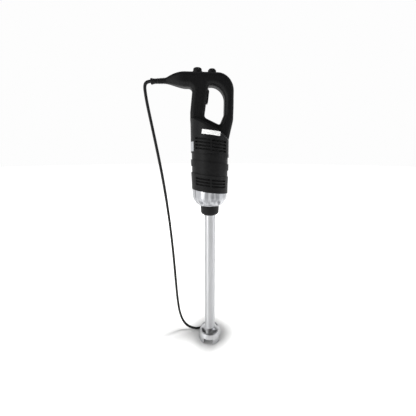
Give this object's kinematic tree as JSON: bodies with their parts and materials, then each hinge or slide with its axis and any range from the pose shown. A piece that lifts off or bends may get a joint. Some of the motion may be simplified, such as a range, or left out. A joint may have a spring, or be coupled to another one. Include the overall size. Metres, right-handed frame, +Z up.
{
  "type": "stick blender",
  "caption": "Hand-held stick blender: black D-handled motor head, aluminium flange, long steel shaft and a four-legged blade guard, with a tied mains lead.",
  "frame": {"origin": "on the shaft's axis, in the plane of the blade guard's feet", "axes": "+Z runs up the shaft to the handle, +X points to the closed D-handle's front leg and away from the lead, and the finger hole opens along Y"},
  "size_m": [0.2072, 0.2152, 0.7362],
  "materials": {
    "black_abs": "fine spark texture, satin",
    "black_nylon": "moulded, satin",
    "soft_rubber": "matt",
    "cast_aluminium": "die-cast, tumbled and brushed",
    "stainless_tube": "drawn tube, fine lengthwise brushing",
    "cast_stainless": "cast and blasted, edges polished",
    "blade_steel": "ground and polished",
    "ground_steel": "ground",
    "zinc_steel": "zinc plated",
    "lamination": "stacked sheets, lacquered",
    "enamelled_copper": "enamelled wire, varnished",
    "commutator_copper": "turned",
    "carbon": "pressed carbon",
    "holder_brass": "folded sheet",
    "bronze_bush": "sintered",
    "white_ptfe": "machined",
    "board_green": "solder mask",
    "control_black": "moulded, satin",
    "trigger_black": "moulded, semi-gloss",
    "badge_white": "pad-printed film",
    "label_foil": "satin foil",
    "cord_jacket": "extruded, satin",
    "tie_black": "moulded",
    "plug_black": "moulded",
    "pin_nickel": "nickel plated"
  },
  "bodies": {
    "stick": {"shaft_tube": "stainless_tube", "tube_head": "ground_steel", "upper_bush": "bronze_bush", "middle_bush": "white_ptfe", "lower_bush": "bronze_bush", "lip_seal": "soft_rubber", "blade_guard": "cast_stainless"},
    "blade_drive": {"inner_drive_shaft": "ground_steel", "driven_dog": "zinc_steel", "blade": "blade_steel", "blade_washer": "zinc_steel", "blade_screw": "zinc_steel"},
    "collar": {"collar_nut": "black_nylon"},
    "motor_unit": {"motor_flange": "cast_aluminium", "flange_screws": "zinc_steel", "front_shell": "black_abs", "rear_shell": "black_abs", "shell_screws": "zinc_steel", "name_badge": "badge_white", "rating_label": "label_foil", "strain_relief_boot": "soft_rubber", "inner_lead": "cord_jacket", "cord_clamp": "black_nylon", "clamp_screws": "zinc_steel", "terminal_block": "white_ptfe", "potentiometer": "zinc_steel", "safety_switch": "control_black", "lock_button_spring": "zinc_steel", "trigger_pin": "ground_steel", "trigger_spring": "zinc_steel", "trigger_switch": "control_black", "speed_control_board": "board_green", "suppression_capacitor": "control_black", "stator_core": "lamination", "field_coils": "enamelled_copper", "carbon_brushes": "carbon", "brush_holders": "holder_brass", "brush_springs": "zinc_steel", "bearing_bracket": "cast_aluminium", "upper_bearing": "ground_steel", "lower_bearing": "ground_steel", "motor_bolts": "zinc_steel", "power_cord": "cord_jacket", "cord_hank": "cord_jacket", "hank_tie": "tie_black", "plug_body": "plug_black", "plug_pins": "pin_nickel"},
    "dial": {"speed_dial": "control_black", "dial_shaft": "zinc_steel"},
    "button": {"lock_button": "control_black"},
    "trigger_lever": {"trigger": "trigger_black"},
    "rotor": {"armature_shaft": "ground_steel", "armature_core": "lamination", "armature_windings": "enamelled_copper", "commutator": "commutator_copper", "cooling_fan": "black_nylon", "drive_dog": "zinc_steel"}
  },
  "joints": [
    {"name": "motor_lift", "type": "slide", "parent": "stick", "child": "motor_unit", "axis": [0, 0, 1], "range_m": [0, 0.06]},
    {"name": "collar_turn", "type": "hinge", "parent": "stick", "child": "collar", "pos_m": [0, 0, 0.4075], "axis": [0, 0, 1], "range_deg": [0, 360]},
    {"name": "rotor_spin", "type": "hinge", "parent": "motor_unit", "child": "rotor", "pos_m": [0, 0, 0.512], "axis": [0, 0, 1], "continuous": true},
    {"name": "blade_spin", "type": "hinge", "parent": "stick", "child": "blade_drive", "pos_m": [0, 0, 0.2], "axis": [0, 0, 1], "continuous": true},
    {"name": "dial_turn", "type": "hinge", "parent": "motor_unit", "child": "dial", "pos_m": [-0.028, 0, 0.72], "axis": [0, 0, 1], "range_deg": [-135, 135]},
    {"name": "lock_button_press", "type": "slide", "parent": "motor_unit", "child": "button", "axis": [0, 0, -1], "range_m": [0, 0.0025], "stiffness_N_per_m": 600, "springref_m": -0.001, "deforming": ["lock_button_spring"]},
    {"name": "trigger_pull", "type": "hinge", "parent": "motor_unit", "child": "trigger_lever", "pos_m": [-0.0135, 0, 0.6655], "axis": [0, -1, 0], "range_deg": [0, 9], "stiffness_Nm_per_rad": 1.2, "springref_deg": -4.58, "deforming": ["trigger_spring"]}
  ],
  "couplings": [
    {"joint": "blade_spin", "follows": "rotor_spin", "ratio": 1}
  ]
}
